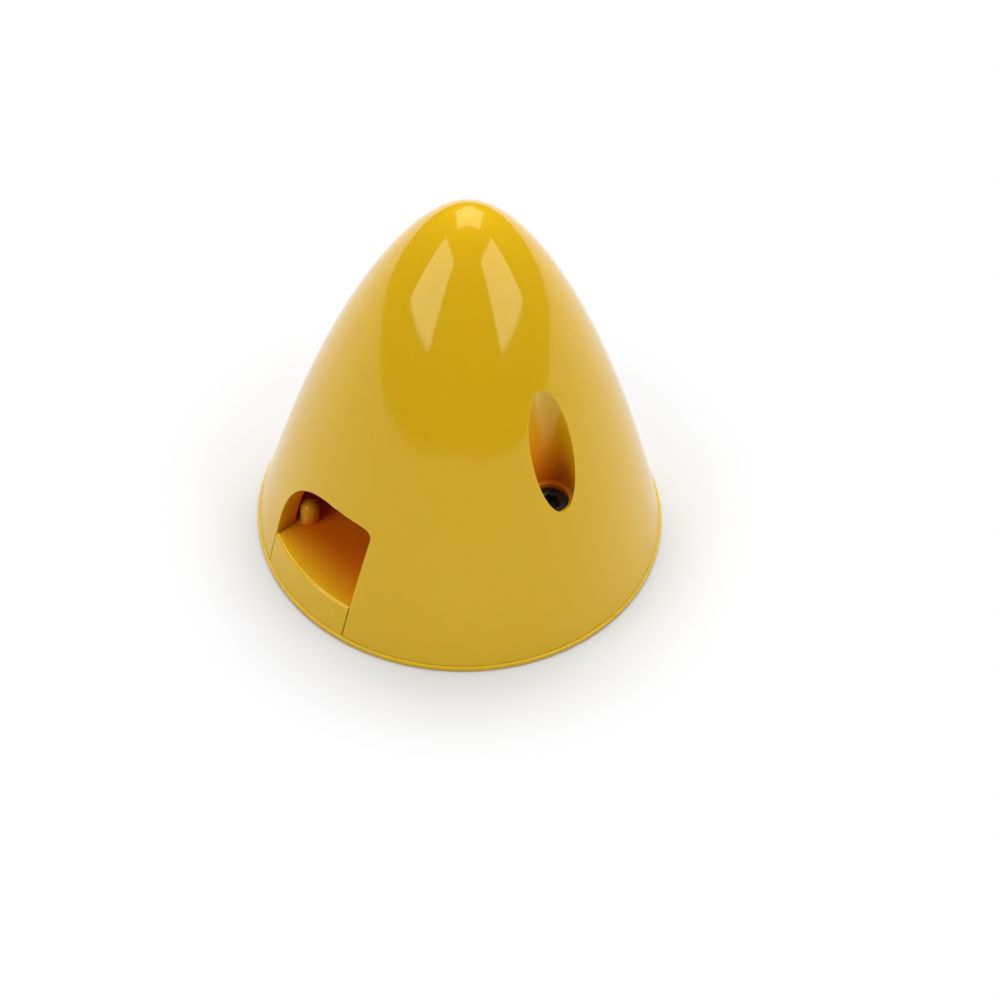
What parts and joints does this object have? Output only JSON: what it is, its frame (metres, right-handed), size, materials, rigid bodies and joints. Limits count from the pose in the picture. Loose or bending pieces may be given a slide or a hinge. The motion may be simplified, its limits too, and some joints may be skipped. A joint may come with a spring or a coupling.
{
  "type": "propeller spinner",
  "caption": "Propeller spinner: a glossy moulded cone with pitched blade cut-outs and screw wells, bolted to a flanged backplate with a ringed shaft bore.",
  "frame": {"origin": "centre of the spinner's back face, where it rests and meets the engine's drive washer", "axes": "+Z along the propeller shaft towards the nose, X through the blade cut-outs, Y through the screw wells"},
  "size_m": [0.0636, 0.0636, 0.0664],
  "materials": {
    "yellow_plastic": "glossy moulded yellow",
    "black_oxide_steel": "black oxide, dull",
    "black_plastic": "moulded black, satin"
  },
  "bodies": {
    "root": {"nose_cone": "yellow_plastic", "backplate": "yellow_plastic", "cone_screw_1": "black_oxide_steel", "cone_screw_2": "black_oxide_steel", "adapter_ring": "black_plastic"}
  },
  "joints": []
}
